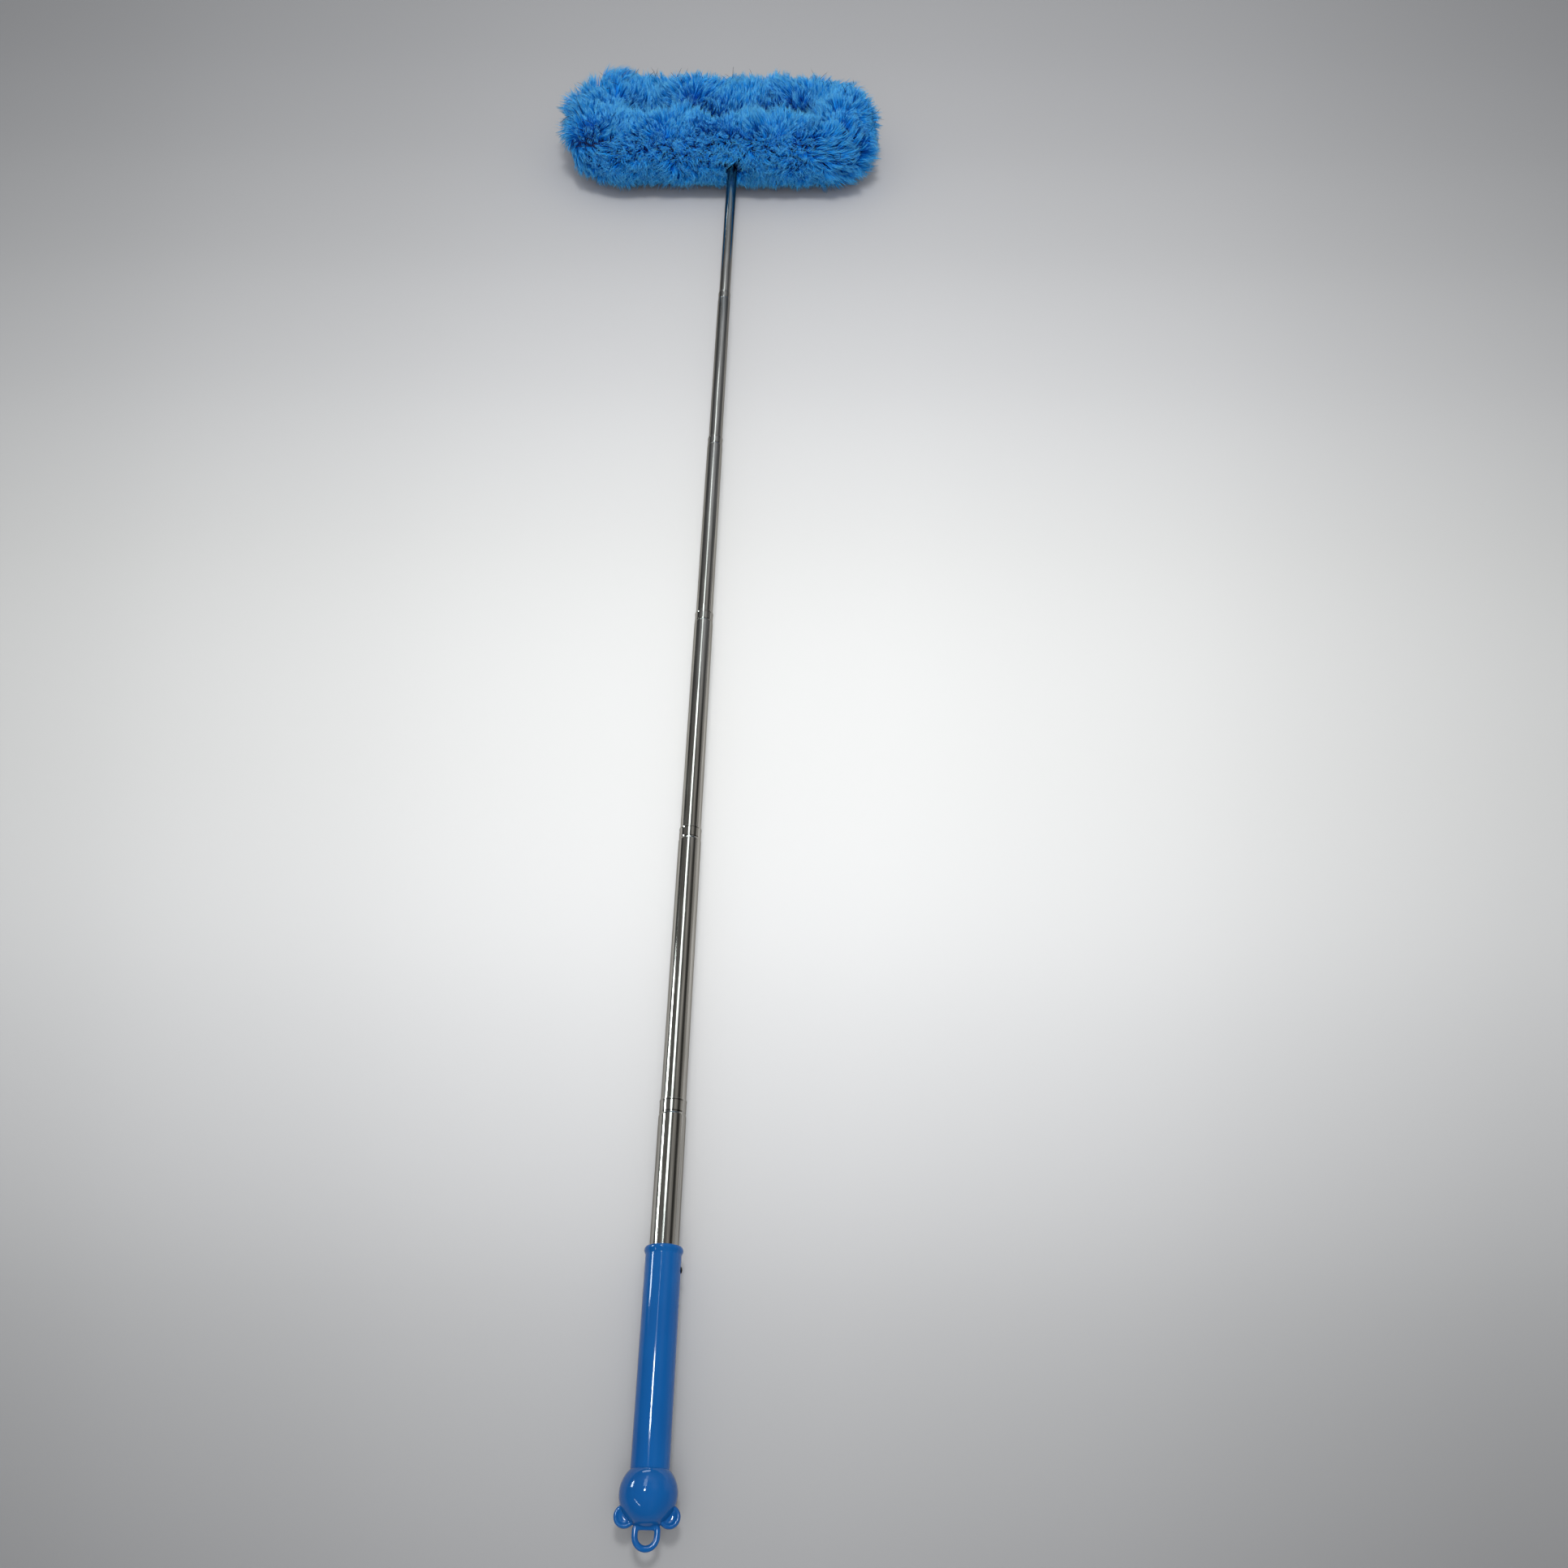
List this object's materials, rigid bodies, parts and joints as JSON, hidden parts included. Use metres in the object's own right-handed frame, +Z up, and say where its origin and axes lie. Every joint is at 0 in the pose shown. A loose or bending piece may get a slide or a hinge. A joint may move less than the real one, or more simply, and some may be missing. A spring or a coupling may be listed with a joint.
{
  "type": "ceiling fan duster",
  "caption": "Blue plush loop duster head on a telescopic polished steel pole, with a blue plastic grip, a ball end with ears and a hanging ring; shown pulled out to its full length.",
  "frame": {"origin": "under the middle of the whole duster, on the surface it lies on", "axes": "+Y from the handle's end to the head along the surface, +Z up, +X to the right when looking from the handle to the head"},
  "size_m": [0.4281, 1.7843, 0.0915],
  "materials": {
    "polished_steel": "polished stainless steel tube",
    "blue_plastic": "glossy moulded blue plastic",
    "plush": "long blue microfibre pile",
    "rod": "plain bent rod",
    "dark_steel": "dark plated screw",
    "nylon": "black moulded plastic",
    "sleeve_film": "thin grey sprung plastic"
  },
  "bodies": {
    "handle": {"end_ball": "blue_plastic", "grip_sleeve": "blue_plastic", "grip_screw": "dark_steel", "tube_1": "polished_steel", "foot_plug_1": "nylon"},
    "section_2": {"tube_2": "polished_steel", "foot_plug_2": "nylon", "friction_sleeve_2": "sleeve_film"},
    "section_3": {"tube_3": "polished_steel", "foot_plug_3": "nylon", "friction_sleeve_3": "sleeve_film"},
    "section_4": {"tube_4": "polished_steel", "foot_plug_4": "nylon", "friction_sleeve_4": "sleeve_film"},
    "section_5": {"tube_5": "polished_steel", "foot_plug_5": "nylon", "friction_sleeve_5": "sleeve_film"},
    "tip_sleeve": {"friction_sleeve_6": "sleeve_film"},
    "tip_and_head": {"tube_6": "polished_steel", "foot_plug_6": "nylon", "tip_insert": "nylon", "head_socket": "blue_plastic", "clamp_screw_left": "dark_steel", "clamp_screw_right": "dark_steel", "loop_frame": "rod", "cover_front_left": "plush", "cover_mouth": "plush", "cover_front_right": "plush", "cover_right_end": "plush", "cover_back": "plush", "cover_left_end": "plush"}
  },
  "joints": [
    {"name": "slide_2", "type": "slide", "parent": "handle", "child": "section_2", "axis": [0, 0.9999, 0.0154], "range_m": [-0.21, 0]},
    {"name": "slide_3", "type": "slide", "parent": "section_2", "child": "section_3", "axis": [0, 0.9999, 0.0154], "range_m": [-0.245, 0]},
    {"name": "slide_4", "type": "slide", "parent": "section_3", "child": "section_4", "axis": [0, 0.9999, 0.0154], "range_m": [-0.245, 0]},
    {"name": "slide_5", "type": "slide", "parent": "section_4", "child": "section_5", "axis": [0, 0.9999, 0.0154], "range_m": [-0.245, 0]},
    {"name": "slide_6", "type": "slide", "parent": "section_5", "child": "tip_sleeve", "axis": [0, 0.9999, 0.0154], "range_m": [-0.245, 0]},
    {"name": "head_turn", "type": "hinge", "parent": "tip_sleeve", "child": "tip_and_head", "pos_m": [0.018, 0.42635, 0.04006], "axis": [0, 0.9999, 0.0154], "continuous": true}
  ]
}
